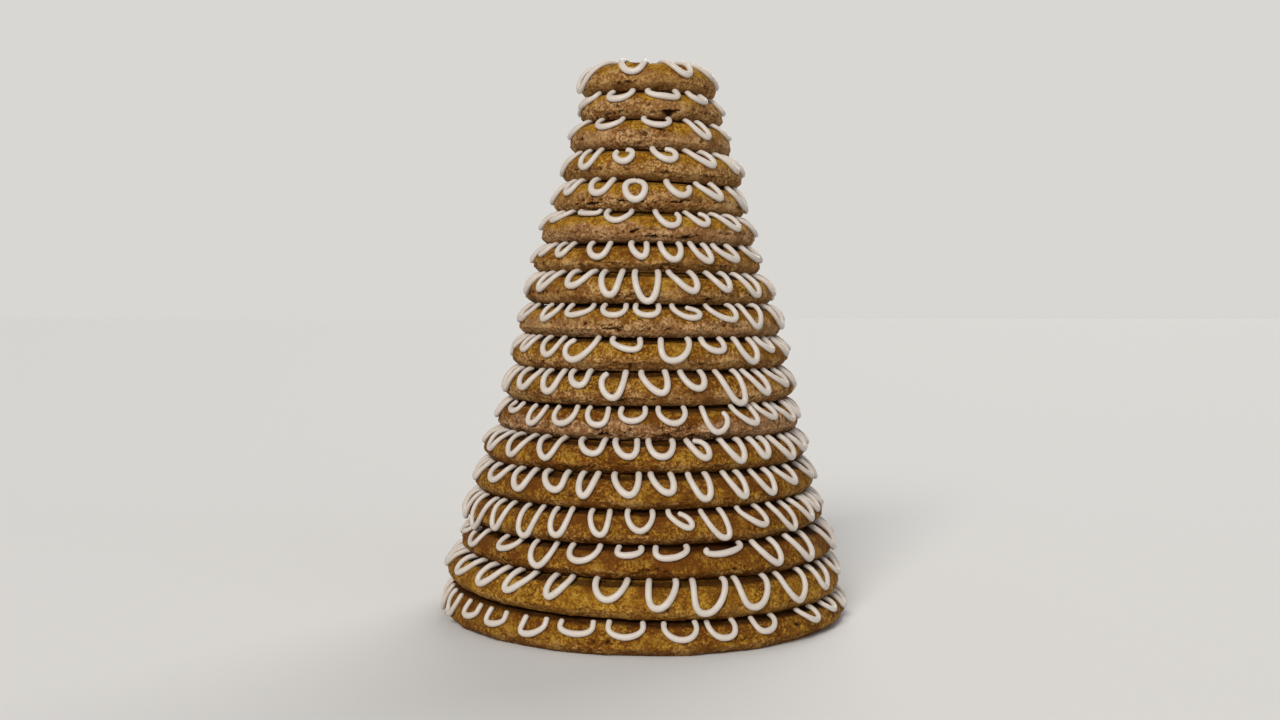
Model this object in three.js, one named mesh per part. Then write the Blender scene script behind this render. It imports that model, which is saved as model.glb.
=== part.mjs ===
// A kransekake: eighteen baked almond rings, each a little smaller than the one below it, stacked
// into a hollow cone, every ring piped with hanging loops of sugar icing.
// Millimetres, +Z up. The origin is the middle of the bottom ring's flat underside, the front is -Y,
// and angles round a ring are degrees from the front, towards +X.
import * as THREE from "three";

// Driving dimensions
const ROPE_WIDTH = 20; // a ring is a rope of dough, flat below and domed above
const TOP_RADIUS = 32.8; // outer radius of the smallest ring
const RADIUS_STEP = 4.07; // each ring is this much wider than the one it carries
const TOP_PITCH = 14.4; // height from the smallest ring's seat to its crest
const PITCH_STEP = 0.082; // the lower rings are a little thicker
const SEAM = 0.3; // air between two rings
const BELLY_HEIGHT = 4; // where the rope is widest, above its seat
const BELLY_OUT = 9.6; // half its width halfway down from there
const FOOT_WIDTH = 14; // the flat underside
const SHOULDER = -48; // degrees down the inner side of the dome, where its facets meet ...
const TOP_SHOULDER = -60; // ... and on the top ring, below its icing
const OUTLINE_WOBBLE = 0.5; // the rings aren't quite round

// Icing: a line piped in hanging loops, whose ends lie under the ring above
const BEAD_WIDTH = 3;
const BEAD_HEIGHT = 2;
const LEG_SHELTER = 1.4; // the loops begin this far inside the outline of the ring above
const TOP_LEG_START = -24; // degrees past the crest of the top ring, where its loops begin
const LOOP_TAPER = 0.68; // a loop's bottom as a share of its width at the top
const LOWEST_TOUCH = 84; // degrees down the dome where a long loop leaves it and hangs free
const DOME_RADIUS = 10.5; // mean radius of the dome's section, from degrees to millimetres
const LEAST_GAP = 0.8; // between the icing of two loops
const SHORTEST_LOOP = 20; // degrees down the dome from a loop's start to its tip
const STEEPEST_LEAN = 1; // most a loop leans, as a share of its length ...
const WIDEST_LEAN = 0.65; // ... and of its width
const LEAST_SIDES = 13; // sides of the smallest ring's body

// One row for each ring, from the top one down: error of its radius, error of its thickness, how
// far its middle stands towards +X, its tilt in degrees (right side down), and the loops from its
// left side past its front to its right side, each as angle/width/height of its tip above the
// ring's seat/lean.
const RINGS = [
  [1.0, 0.0, 2.0, 1.5, "-61/18/1/-9 -18/16/7/2 24/13/7/5 58/14/8/6"],
  [-0.8, -0.5, 3.0, 1.7, "-64/14/7/-7 -27/13/8/-1 9/16/9/3 43/11/9/7"],
  [-0.7, 0.7, 2.5, 2.4, "-74/14/7/-5 -34/15/9/-1 4/14/10/2 36/9/6/5 73/10/9/3"],
  [-0.4, 0.5, 3.8, 2.0, "-74/13/4/-6 -46/10/5/-1 -20/9/7/1 6/11/8/3 31/11/7/7 60/10/7/4"],
  [-0.9, 0.6, 2.8, 1.9, "-82/12/5/-2 -57/8/8/0 -32/11/7/0 -10/10/4/1 16/11/7/1 36/10/7/6 " +
    "66/11/5/6"],
  [0.6, 0.2, 2.2, 0.8, "-60/12/10/-5 -38/14/13/2 -18/15/9/0 9/13/7/2 26/9/8/3 45/11/7/6 " +
    "74/11/6/6"],
  [-0.2, -0.8, 1.5, 0.8, "-66/9/8/-1 -48/8/7/0 -26/11/6/1 -5/8/6/2 11/10/5/1 26/8/5/4 41/10/6/6 " +
    "66/14/7/8"],
  [1.3, -0.1, 2.5, 0.6, "-73/11/5/-5 -53/10/6/-5 -33/13/7/-3 -18/10/3/1 -2/12/0/1 14/12/5/5 " +
    "33/10/6/3 52/12/4/4 76/11/5/4"],
  [0.8, 0.5, 3.0, 0.3, "-71/13/7/-6 -48/9/7/-4 -32/14/9/-4 -16/13/9/0 -2/13/9/1 14/12/8/4 " +
    "31/14/7/5 49/12/4/0 71/13/4/5"],
  [-0.2, 0.3, 2.5, 0.0, "-76/10/9/-1 -61/9/8/-1 -44/11/6/0 -28/15/4/-3 -10/14/9/3 10/14/4/-2 " +
    "26/11/8/2 42/12/3/3 55/9/8/4 72/10/6/3"],
  [-0.2, 0.6, 2.5, 0.1, "-72/12/4/-2 -54/12/6/-1 -40/10/5/0 -28/10/8/2 -14/11/3/1 1/12/5/4 " +
    "16/11/7/2 31/11/0/5 44/9/4/7 59/12/7/8 76/10/6/4"],
  [-1.7, 0.3, 2.0, 0.2, "-79/11/6/-2 -63/12/10/0 -46/9/5/-2 -32/12/6/-1 -19/10/6/1 -6/12/8/0 " +
    "8/13/7/1 24/13/3/0 36/10/6/5 47/10/8/5 60/12/6/7"],
  [-0.2, -0.9, 0.5, -0.1, "-80/10/8/-1 -66/12/6/-2 -50/13/5/-1 -35/12/5/1 -19/13/8/2 -7/11/7/2 " +
    "5/12/7/0 17/8/6/3 30/10/4/3 42/8/5/1 54/12/3/6 69/12/5/5"],
  [0.3, 0.2, 0.0, 0.1, "-75/11/6/-1 -57/15/8/-1 -43/11/6/1 -30/12/7/3 -18/8/5/-1 -6/12/6/2 " +
    "5/10/7/3 17/9/4/2 29/8/4/4 41/10/4/4 53/12/7/5 71/13/7/7"],
  [0.1, -0.2, -0.8, 0.1, "-76/12/2/-2 -62/17/-1/-6 -49/10/2/-2 -36/10/1/-2 -25/9/3/-1 -13/9/4/1 " +
    "-1/12/6/0 10/8/7/5 21/10/2/5 34/11/6/6 47/10/2/8 59/14/4/6 69/10/7/3 81/10/8/2"],
  [-0.4, -0.8, 0.7, 0.9, "-76/12/9/-1 -62/13/6/0 -44/12/8/-3 -31/12/3/-1 -18/14/7/-2 " +
    "-5/11/10/-2 7/16/9/-2 23/19/10/-6 37/12/4/5 52/13/3/6 73/20/3/8"],
  [1.1, 1.0, -0.8, 1.6, "-76/12/7/-6 -60/13/8/-6 -46/11/7/-6 -35/10/7/-6 -23/9/7/-4 -9/15/8/-1 " +
    "5/13/5/-3 18/16/3/-4 31/17/4/-2 46/17/4/0 61/14/6/-1 76/13/8/3"],
  [-0.7, -0.3, 0.0, 0.0, "-79/11/3/-3 -67/11/4/-3 -54/11/7/-8 -43/11/7/-5 -30/12/6/-4 " +
    "-18/16/10/1 -5/16/8/0 9/15/7/1 20/13/7/1 33/12/8/-1 50/11/8/3 63/10/9/1"],
];

const crust = { roughness: 0.8, metalness: 0 };
const TOP_CRUST = new THREE.Color(0xc89a5c);
const BOTTOM_CRUST = new THREE.Color(0xb98045);

const rad = THREE.MathUtils.degToRad;
const GOLDEN_SHARE = 0.618034;

// A wave between -1 and 1 that differs from ring to ring and from use to use.
function vary(ring, use) {
  return Math.sin(2 * Math.PI * (((ring * 7 + use) * GOLDEN_SHARE) % 1));
}

// Distance from a ring's middle to its outline at an angle: nearly round.
function outline(ring, angle) {
  const turn = rad(angle);
  const waves = Math.sin(2 * turn + 3 * vary(ring, 1)) + 0.6 * Math.sin(3 * turn + ring);
  return TOP_RADIUS + RADIUS_STEP * (ring - 1) + RINGS[ring - 1][0] + OUTLINE_WOBBLE * waves;
}

// A surface gathered from strips of triangles that share their vertices.
class Skin {
  points = [];
  faces = [];

  add(point) {
    return this.points.push(point) - 1;
  }

  // Fills the strip between two chains of vertices that run side by side, the upper one on the left
  // of the lower one as seen from outside, always across the shorter diagonal.
  strip(lower, upper) {
    let i = 0;
    let j = 0;
    const across = (a, b) => this.points[a].distanceTo(this.points[b]);
    while (i < lower.length - 1 || j < upper.length - 1) {
      const viaLower = i < lower.length - 1 ? across(lower[i + 1], upper[j]) : Infinity;
      const viaUpper = j < upper.length - 1 ? across(lower[i], upper[j + 1]) : Infinity;
      if (viaLower <= viaUpper) {
        this.faces.push(lower[i], lower[i + 1], upper[j]);
        i += 1;
      } else {
        this.faces.push(lower[i], upper[j + 1], upper[j]);
        j += 1;
      }
    }
  }

  // The same between two chains that close on themselves.
  band(lower, upper) {
    this.strip([...lower, lower[0]], [...upper, upper[0]]);
  }

  geometry() {
    const made = new THREE.BufferGeometry().setFromPoints(this.points).setIndex(this.faces);
    made.computeVertexNormals();
    return made;
  }
}

// The loops of one ring: those of its row, then as many more of the same kind round its back.
function loopsOf(ring, text, reach) {
  const loops = text.split(" ").map((entry) => {
    const [angle, width, tip, lean] = entry.split("/").map(Number);
    return { angle, width, tip, lean };
  });
  const first = loops[0].angle;
  const last = loops.at(-1).angle;
  const mean = (name) => loops.reduce((sum, loop) => sum + loop[name], 0) / loops.length;
  const width = mean("width");
  const tip = mean("tip");
  const behind = 360 - (last - first);
  const steps = Math.round((behind / (last - first)) * (loops.length - 1));
  for (let n = 1; n < steps; n++)
    loops.push({
      angle: last + ((n + 0.2 * vary(ring, n)) * behind) / steps,
      width: width * (1 + 0.2 * vary(ring, 2 * n + 1)),
      tip: tip + 1.5 * vary(ring, 3 * n + 2),
      lean: 2 * vary(ring, 5 * n + 3),
    });
  // No loop is wider than its share of the way to its neighbours, or leans into the one before.
  const apart = loops.map((loop, n) => {
    const next = loops[n + 1]?.angle ?? loops[0].angle + 360;
    return rad(next - loop.angle) * reach - BEAD_WIDTH - LEAST_GAP;
  });
  loops.forEach((loop, n) => {
    loop.width = Math.min(loop.width, apart[n], apart.at(n - 1));
  });
  loops.forEach((loop, n) => {
    const before = loops.at(n - 1);
    const room = apart.at(n - 1) - (LOOP_TAPER * (loop.width + before.width)) / 2;
    if (n > 0) loop.lean = Math.max(loop.lean, before.lean - room);
    else before.lean = Math.min(before.lean, loop.lean + room);
  });
  return loops;
}

// One ring with its icing: ring is 1 at the top, rise the slope of its crest, which carries the
// tilt of the ring above, and step how far that ring's middle stands to the side of its own.
function ringGeometry({ ring, thickness, rise, step, text }) {
  const skin = new Skin();
  const isTop = ring === 1;

  // The point at an angle round the ring, so far out from the rope's middle line and so far up.
  const middle = (angle) => outline(ring, angle) - ROPE_WIDTH / 2;
  const place = (angle, out, up) => {
    const turn = rad(angle);
    const reach = middle(angle) + out;
    return new THREE.Vector3(reach * Math.sin(turn), -reach * Math.cos(turn), up);
  };
  const crestHeight = (angle) => thickness - rise * middle(angle) * Math.sin(rad(angle));

  // Degrees down the dome to where the loops begin, sheltered by the ring above.
  const legStart = (angle) => {
    if (isTop) return TOP_LEG_START;
    const above = outline(ring - 1, angle) + step * Math.sin(rad(angle));
    const share = (above - LEG_SHELTER - middle(angle)) / (ROPE_WIDTH / 2);
    return THREE.MathUtils.radToDeg(Math.asin(share));
  };

  // The dome: degrees down from its crest, outwards if positive, raised by lift. Below its widest
  // place it goes straight down.
  const dome = (angle, down, lift = 0) => {
    const slope = rad(THREE.MathUtils.clamp(down, -90, 90));
    const hang = rad(Math.max(down - 90, 0)) * DOME_RADIUS;
    const out = (ROPE_WIDTH / 2) * Math.sin(slope);
    const up = BELLY_HEIGHT + (crestHeight(angle) - BELLY_HEIGHT) * Math.cos(slope) - hang;
    return place(angle, out + lift * Math.sin(slope), up + lift * Math.cos(slope));
  };

  const radius = outline(ring, 0);
  const loops = loopsOf(ring, text, radius - BEAD_WIDTH);
  const degreesAlong = (length) => THREE.MathUtils.radToDeg(length / radius);
  const degreesDown = (length) => THREE.MathUtils.radToDeg(length / DOME_RADIUS);

  // One loop of icing: a ridge with an outer and an inner edge on the dough, each of four places
  // from the start of the left leg round the bottom to the start of the right leg.
  const pipe = (loop) => {
    const share = (loop.tip - BELLY_HEIGHT) / (thickness - BELLY_HEIGHT);
    const lowest =
      share > 0
        ? THREE.MathUtils.radToDeg(Math.acos(share))
        : 90 + degreesDown(BELLY_HEIGHT - loop.tip);
    const start = legStart(loop.angle);
    const tip = Math.max(lowest, start + SHORTEST_LOOP);
    const mostLean = Math.min(
      STEEPEST_LEAN * rad(tip - start) * DOME_RADIUS,
      WIDEST_LEAN * loop.width,
    );
    const lean = THREE.MathUtils.clamp(loop.lean, -mostLean, mostLean);
    const wide = loop.width / 2;
    const narrow = wide * LOOP_TAPER;
    const half = BEAD_WIDTH / 2;
    // An edge lies so far outside the ridge, as high above the dough as lift.
    const edge = (outside, lift) => {
      const bottom = tip - degreesDown(half - outside);
      const limit = lift > 0 ? Infinity : LOWEST_TOUCH + degreesDown(outside);
      const at = (along, down) => {
        const angle = loop.angle + degreesAlong(along);
        return skin.add(dome(angle, down ? Math.min(down, limit) : legStart(angle), lift));
      };
      return [
        at(-wide - outside),
        at(lean - narrow - outside, bottom),
        at(lean + narrow + outside, bottom),
        at(wide + outside),
      ];
    };
    const outer = edge(half, 0);
    const ridge = edge(0, BEAD_HEIGHT);
    const inner = edge(-half, 0);
    skin.strip(outer, ridge);
    skin.strip(ridge, inner);
    skin.strip([inner[0], inner[1]], [inner[3], inner[2]]);
    const corners = [lean - narrow - half, lean + narrow + half];
    const below = corners.map((along) => loop.angle + degreesAlong(along));
    return { outer, ridge, inner, below, angle: loop.angle };
  };
  const piped = loops.map(pipe);

  // The dough between neighbouring loops, and what closes their legs at the top.
  const starts = [];
  piped.forEach(({ outer, ridge, inner, angle }, n) => {
    const isLast = n === piped.length - 1;
    const next = isLast ? piped[0] : piped[n + 1];
    skin.strip([outer[3], outer[2]], [next.outer[0], next.outer[1]]);
    if (isTop) {
      // The top ring's line turns back on the inner side of the crest.
      const between = (angle + next.angle + (isLast ? 360 : 0)) / 2;
      const bend = skin.add(dome(between, TOP_LEG_START - degreesDown(BEAD_WIDTH / 2), BEAD_HEIGHT));
      const back = skin.add(dome(between, TOP_LEG_START - degreesDown(BEAD_WIDTH), 0));
      skin.strip([outer[3], next.outer[0]], [ridge[3], bend, next.ridge[0]]);
      skin.strip([ridge[3], bend, next.ridge[0]], [inner[3], back, next.inner[0]]);
      starts.push(inner[0], inner[3], back);
    } else {
      skin.faces.push(outer[0], ridge[0], inner[0], ridge[3], outer[3], inner[3]);
      starts.push(outer[0], inner[0], inner[3], outer[3]);
    }
  });
  const tips = piped.flatMap(({ outer }) => [outer[1], outer[2]]);

  // The body, from the underside up the outer side, over the crest and down inside.
  const sides = LEAST_SIDES + Math.floor((ring - 1) / 2);
  const turns = Array.from({ length: sides }, (_, n) => loops[0].angle + (360 * n) / sides);
  const circle = (at) => turns.map((angle) => skin.add(at(angle)));
  const underside = circle((angle) => place(angle, -FOOT_WIDTH / 2, 0));
  const foot = circle((angle) => place(angle, FOOT_WIDTH / 2, 0));
  const belly = piped.flatMap(({ below }) =>
    below.map((angle) => skin.add(place(angle, BELLY_OUT, BELLY_HEIGHT / 2))),
  );
  const crest = isTop ? [] : [circle((angle) => dome(angle, 0))];
  const shoulder = circle((angle) => dome(angle, isTop ? TOP_SHOULDER : SHOULDER));
  const inside = circle((angle) => dome(angle, -90));
  const cover = (chains) => chains.slice(1).forEach((chain, n) => skin.band(chains[n], chain));
  cover([underside, foot, belly, tips]);
  cover([starts, ...crest, shoulder, inside, underside]);
  return skin.geometry();
}

// The stack: each group carries one ring and the group of the ring above it.
const cake = new THREE.Group();
let carrier = cake;
for (let ring = RINGS.length; ring >= 1; ring--) {
  const [, thicknessError, drift, tilt, text] = RINGS[ring - 1];
  const pitch = TOP_PITCH + PITCH_STEP * (ring - 1) + thicknessError;
  const [, , nextDrift, nextTilt] = RINGS[Math.max(ring - 2, 0)];
  const lean = rad(nextTilt - tilt);
  const step = nextDrift - drift - pitch * Math.sin(rad(tilt));
  const colour = TOP_CRUST.clone().lerp(BOTTOM_CRUST, (ring - 1) / (RINGS.length - 1));
  const mesh = new THREE.Mesh(
    ringGeometry({ ring, thickness: pitch - SEAM, rise: Math.tan(lean), step, text }),
    new THREE.MeshStandardMaterial({ color: colour, ...crust }),
  );
  mesh.name = "ring_" + String(ring).padStart(2, "0");
  carrier.add(mesh);
  const seat = new THREE.Group();
  seat.position.set(step, 0, pitch);
  seat.rotation.y = lean;
  carrier.add(seat);
  carrier = seat;
}

export default cake;
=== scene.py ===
"""A kransekake: eighteen baked almond rings stacked into a hollow cone, piped with sugar icing.

Shapes are worked out in millimetres in each ring's own frame, and put into the meshes in metres.
Angles round a ring run from the front, -Y, towards +X. "Down" is an angle too: how far a place on
the rope's dome lies below its crest, outwards if positive.
"""

import itertools

import bpy
import numpy as np
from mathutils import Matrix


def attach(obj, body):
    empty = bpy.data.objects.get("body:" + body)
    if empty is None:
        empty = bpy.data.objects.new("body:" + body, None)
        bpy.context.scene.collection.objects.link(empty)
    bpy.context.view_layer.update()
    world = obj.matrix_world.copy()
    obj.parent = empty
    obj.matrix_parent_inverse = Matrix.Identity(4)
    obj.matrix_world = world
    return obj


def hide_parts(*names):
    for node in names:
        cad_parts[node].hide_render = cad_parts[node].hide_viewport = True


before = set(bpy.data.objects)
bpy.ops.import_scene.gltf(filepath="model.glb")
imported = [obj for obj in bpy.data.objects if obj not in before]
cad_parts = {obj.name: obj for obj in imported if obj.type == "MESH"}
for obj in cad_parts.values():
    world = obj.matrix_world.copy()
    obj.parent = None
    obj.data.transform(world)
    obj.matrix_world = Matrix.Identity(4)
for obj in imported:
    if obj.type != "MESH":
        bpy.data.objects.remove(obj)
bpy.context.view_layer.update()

MM = 0.001

# The rings, as in the solids
ROPE_WIDTH = 20  # a ring is a rope of dough, flat below and domed above
TOP_RADIUS = 32.8  # outer radius of the smallest ring
RADIUS_STEP = 4.07  # each ring is this much wider than the one it carries
TOP_PITCH = 14.4  # height from the smallest ring's seat to its crest
PITCH_STEP = 0.082  # the lower rings are a little thicker
SEAM = 0.3  # air between two rings
BELLY_HEIGHT = 4  # where the rope is widest, above its seat
FOOT_WIDTH = 14  # the flat underside
OUTLINE_WOBBLE = 0.5  # the rings aren't quite round

# The piped loops, as in the solids
BEAD_WIDTH = 3
LEG_SHELTER = 1.4  # the loops begin this far inside the outline of the ring above
TOP_LEG_START = -24  # degrees past the crest of the top ring, where its loops begin
LOOP_TAPER = 0.68  # a loop's bottom as a share of its width at the top
DOME_RADIUS = 10.5  # mean radius of the dome's section, from angles to millimetres
LEAST_GAP = 0.8  # between the icing of two loops
SHORTEST_LOOP = 20  # degrees down the dome from a loop's start to its tip
STEEPEST_LEAN = 1.0  # most a loop leans, as a share of its length ...
WIDEST_LEAN = 0.65  # ... and of its width

# How much the loops round the back vary: in place, as a share of the way between two, in width,
# as a share of it, and in the height of their tips and their lean.
BACK_VARIETY = (0.2, 0.2, 1.5, 2)

# One row for each ring, from the top one down: error of its radius, error of its thickness, how
# far its middle stands towards +X, its tilt in degrees (right side down), and the loops from its
# left side past its front to its right side, each as angle/width/height of its tip above the
# ring's seat/lean.
RINGS = [
    [1.0, 0.0, 2.0, 1.5, "-61/18/1/-9 -18/16/7/2 24/13/7/5 58/14/8/6"],
    [-0.8, -0.5, 3.0, 1.7, "-64/14/7/-7 -27/13/8/-1 9/16/9/3 43/11/9/7"],
    [-0.7, 0.7, 2.5, 2.4, "-74/14/7/-5 -34/15/9/-1 4/14/10/2 36/9/6/5 73/10/9/3"],
    [-0.4, 0.5, 3.8, 2.0, "-74/13/4/-6 -46/10/5/-1 -20/9/7/1 6/11/8/3 31/11/7/7 60/10/7/4"],
    [-0.9, 0.6, 2.8, 1.9, "-82/12/5/-2 -57/8/8/0 -32/11/7/0 -10/10/4/1 16/11/7/1 36/10/7/6 "
     "66/11/5/6"],
    [0.6, 0.2, 2.2, 0.8, "-60/12/10/-5 -38/14/13/2 -18/15/9/0 9/13/7/2 26/9/8/3 45/11/7/6 "
     "74/11/6/6"],
    [-0.2, -0.8, 1.5, 0.8, "-66/9/8/-1 -48/8/7/0 -26/11/6/1 -5/8/6/2 11/10/5/1 26/8/5/4 41/10/6/6 "
     "66/14/7/8"],
    [1.3, -0.1, 2.5, 0.6, "-73/11/5/-5 -53/10/6/-5 -33/13/7/-3 -18/10/3/1 -2/12/0/1 14/12/5/5 "
     "33/10/6/3 52/12/4/4 76/11/5/4"],
    [0.8, 0.5, 3.0, 0.3, "-71/13/7/-6 -48/9/7/-4 -32/14/9/-4 -16/13/9/0 -2/13/9/1 14/12/8/4 "
     "31/14/7/5 49/12/4/0 71/13/4/5"],
    [-0.2, 0.3, 2.5, 0.0, "-76/10/9/-1 -61/9/8/-1 -44/11/6/0 -28/15/4/-3 -10/14/9/3 10/14/4/-2 "
     "26/11/8/2 42/12/3/3 55/9/8/4 72/10/6/3"],
    [-0.2, 0.6, 2.5, 0.1, "-72/12/4/-2 -54/12/6/-1 -40/10/5/0 -28/10/8/2 -14/11/3/1 1/12/5/4 "
     "16/11/7/2 31/11/0/5 44/9/4/7 59/12/7/8 76/10/6/4"],
    [-1.7, 0.3, 2.0, 0.2, "-79/11/6/-2 -63/12/10/0 -46/9/5/-2 -32/12/6/-1 -19/10/6/1 -6/12/8/0 "
     "8/13/7/1 24/13/3/0 36/10/6/5 47/10/8/5 60/12/6/7"],
    [-0.2, -0.9, 0.5, -0.1, "-80/10/8/-1 -66/12/6/-2 -50/13/5/-1 -35/12/5/1 -19/13/8/2 -7/11/7/2 "
     "5/12/7/0 17/8/6/3 30/10/4/3 42/8/5/1 54/12/3/6 69/12/5/5"],
    [0.3, 0.2, 0.0, 0.1, "-75/11/6/-1 -57/15/8/-1 -43/11/6/1 -30/12/7/3 -18/8/5/-1 -6/12/6/2 "
     "5/10/7/3 17/9/4/2 29/8/4/4 41/10/4/4 53/12/7/5 71/13/7/7"],
    [0.1, -0.2, -0.8, 0.1, "-76/12/2/-2 -62/17/-1/-6 -49/10/2/-2 -36/10/1/-2 -25/9/3/-1 -13/9/4/1 "
     "-1/12/6/0 10/8/7/5 21/10/2/5 34/11/6/6 47/10/2/8 59/14/4/6 69/10/7/3 81/10/8/2"],
    [-0.4, -0.8, 0.7, 0.9, "-76/12/9/-1 -62/13/6/0 -44/12/8/-3 -31/12/3/-1 -18/14/7/-2 "
     "-5/11/10/-2 7/16/9/-2 23/19/10/-6 37/12/4/5 52/13/3/6 73/20/3/8"],
    [1.1, 1.0, -0.8, 1.6, "-76/12/7/-6 -60/13/8/-6 -46/11/7/-6 -35/10/7/-6 -23/9/7/-4 -9/15/8/-1 "
     "5/13/5/-3 18/16/3/-4 31/17/4/-2 46/17/4/0 61/14/6/-1 76/13/8/3"],
    [-0.7, -0.3, 0.0, 0.0, "-79/11/3/-3 -67/11/4/-3 -54/11/7/-8 -43/11/7/-5 -30/12/6/-4 "
     "-18/16/10/1 -5/16/8/0 9/15/7/1 20/13/7/1 33/12/8/-1 50/11/8/3 63/10/9/1"],
]

# Loops whose legs curl over at their top: ring, loop from the left, and how far past upright the
# left and the right leg curl, in degrees.
CURLS = [
    (1, 3, 0, 70), (4, 3, 45, 85), (4, 4, 0, 80), (5, 4, 100, 95), (5, 5, 0, 20), (6, 4, 0, 35),
    (6, 5, 0, 60), (9, 6, 0, 85), (10, 4, 55, 0), (11, 5, 60, 0), (12, 8, 0, 45),
    (13, 8, 0, 110), (15, 8, 0, 85), (16, 8, 30, 0),
]

# How each ring baked, from the top one down: how brown its crown is, partly painted shade under
# the ring above, how brown its side, how torn and pale its side is, and how far down the golden
# skin reaches, in degrees.
BAKING = [
    (0.22, 0.05, 0.50, 66), (0.20, 0.10, 0.65, 64), (0.00, 0.05, 0.75, 60),
    (0.05, 0.15, 0.50, 67), (0.05, 0.05, 0.60, 65), (0.05, 0.00, 0.85, 65),
    (0.72, 0.25, 0.45, 76), (0.45, 0.25, 0.50, 72), (0.50, 0.12, 0.80, 67),
    (0.52, 0.22, 0.50, 77), (0.70, 0.32, 0.55, 74), (0.76, 0.20, 1.00, 65),
    (0.90, 0.58, 0.25, 88), (0.84, 0.55, 0.25, 88), (0.88, 0.57, 0.30, 86),
    (1.00, 0.68, 0.25, 92), (0.44, 0.20, 0.15, 84), (0.80, 0.56, 0.20, 90),
]

# Cracks and holes: ring, angle round it, height above its seat, length, width, depth, and how
# steeply it runs, in degrees.
CRACKS = [
    (2, 15, 3.2, 10, 3.4, 3.0, 3),
    (3, -20, 9.4, 9, 1.0, 0.8, 1),
    (3, 8, 9.6, 12, 1.0, 0.9, -3),
    (4, -40, 4.6, 12, 1.2, 1.0, 3),
    (4, 6, 4.0, 14, 1.1, 0.9, -2),
    (4, -58, 5.0, 6, 2.2, 2.2, 5),
    (5, 15, 5.4, 7, 2.0, 2.8, 3),
    (5, -36, 3.6, 11, 1.8, 1.5, 2),
    (5, -16, 4.2, 9, 1.8, 1.6, -6),
    (6, -8, 6.0, 6, 1.8, 2.6, 25),
    (6, 2, 3.2, 10, 1.2, 1.4, 3),
    (6, 20, 2.8, 12, 1.4, 1.6, -2),
    (7, 10, 2.0, 12, 1.1, 0.9, -3),
    (8, -7, 3.8, 7, 1.9, 2.2, 30),
    (8, 26, 2.6, 9, 1.3, 1.2, 2),
    (9, -16, 3.3, 10, 1.8, 1.8, 2),
    (9, -5, 8.0, 6, 1.3, 1.2, -25),
    (10, -8, 3.0, 6, 1.1, 1.8, 84),
    (10, -47, 3.0, 6, 1.1, 1.5, 80),
    (11, -12, 2.4, 9, 1.7, 1.4, 1),
    (12, -16, 1.6, 8, 2.0, 1.8, 3),
    (12, 5, 1.6, 10, 1.8, 1.8, -3),
    (12, 16, 1.4, 7, 2.0, 1.8, 2),
    (16, -30, 12.8, 4, 1.4, 1.6, 10),
    (17, 28, 7.8, 2.6, 1.8, 1.8, 30),
    (18, 44, 9.2, 5, 1.4, 1.8, -15),
]

GOLDEN_SHARE = 0.618034  # of a full turn: its multiples never fall into step


def vary(ring, use):
    """A wave between -1 and 1 that differs from ring to ring and from use to use."""
    return np.sin(2 * np.pi * ((ring * 7 + use) * GOLDEN_SHARE % 1))


def between(low, high, value):
    """0 at low, 1 at high and smooth between, or the other way round if low is above."""
    share = np.clip((value - low) / (high - low), 0, 1)
    return share * share * (3 - 2 * share)


# Random relief

LATTICE = 256  # cells along each way before a lattice's random values repeat, a power of two
SMALLEST_PORE = 0.4  # radius of a pattern's smallest pores, as a share of its widest
NO_PORE = 1e-6  # radius of a pore that is left out


def pick(order, corner):
    """A number below LATTICE for each corner of a lattice, from a shuffled order of them."""
    x, y, z = np.moveaxis(corner & (LATTICE - 1), -1, 0)
    return order[order[order[x] + y] + z]


def lumps(points, size, seed):
    """Smooth values from -1 to 1: a lattice of this size has a random value at each corner, and
    a place takes the eight round it, weighted by smooth steps of its distances. So a number times
    lumps gives lumps that high, and size is how wide they are."""
    draw = np.random.default_rng(seed)
    order = np.tile(draw.permutation(LATTICE), 2)
    values = draw.uniform(-1, 1, LATTICE)
    cell = points / size
    corner = np.floor(cell).astype(int)
    share = between(0, 1, cell - corner)
    total = np.zeros(points.shape[:-1])
    for step in itertools.product((0, 1), repeat=3):
        weight = np.where(np.array(step) == 1, share, 1 - share).prod(axis=-1)
        total += weight * values[pick(order, corner + step)]
    return total


def pores(points, spacing, widest, kept, seed):
    """Round hollows, 1 in their middle and 0 at their rim: each cell of a lattice of this spacing
    has one at a random place, of a random radius up to widest, in a share of the cells."""
    draw = np.random.default_rng(seed)
    order = np.tile(draw.permutation(LATTICE), 2)
    places = draw.uniform(0, 1, (LATTICE, 3))
    has_one = draw.uniform(0, 1, LATTICE) < kept
    radii = np.where(has_one, draw.uniform(SMALLEST_PORE, 1, LATTICE) * widest, NO_PORE)
    cell = points / spacing
    corner = np.floor(cell).astype(int)
    deepest = np.zeros(points.shape[:-1])
    for step in itertools.product((-1, 0, 1), repeat=3):
        picked = pick(order, corner + step)
        away = np.linalg.norm((corner + step + places[picked] - cell) * spacing, axis=-1)
        deepest = np.maximum(deepest, 1 - away / radii[picked])
    return deepest


# The rings


def outline(ring, turn):
    """Distance from a ring's middle to its outline: its radius and two slow waves."""
    waves = np.sin(2 * turn + 3 * vary(ring, 1)) + 0.6 * np.sin(3 * turn + ring)
    return TOP_RADIUS + RADIUS_STEP * (ring - 1) + RINGS[ring - 1][0] + OUTLINE_WOBBLE * waves


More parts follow.
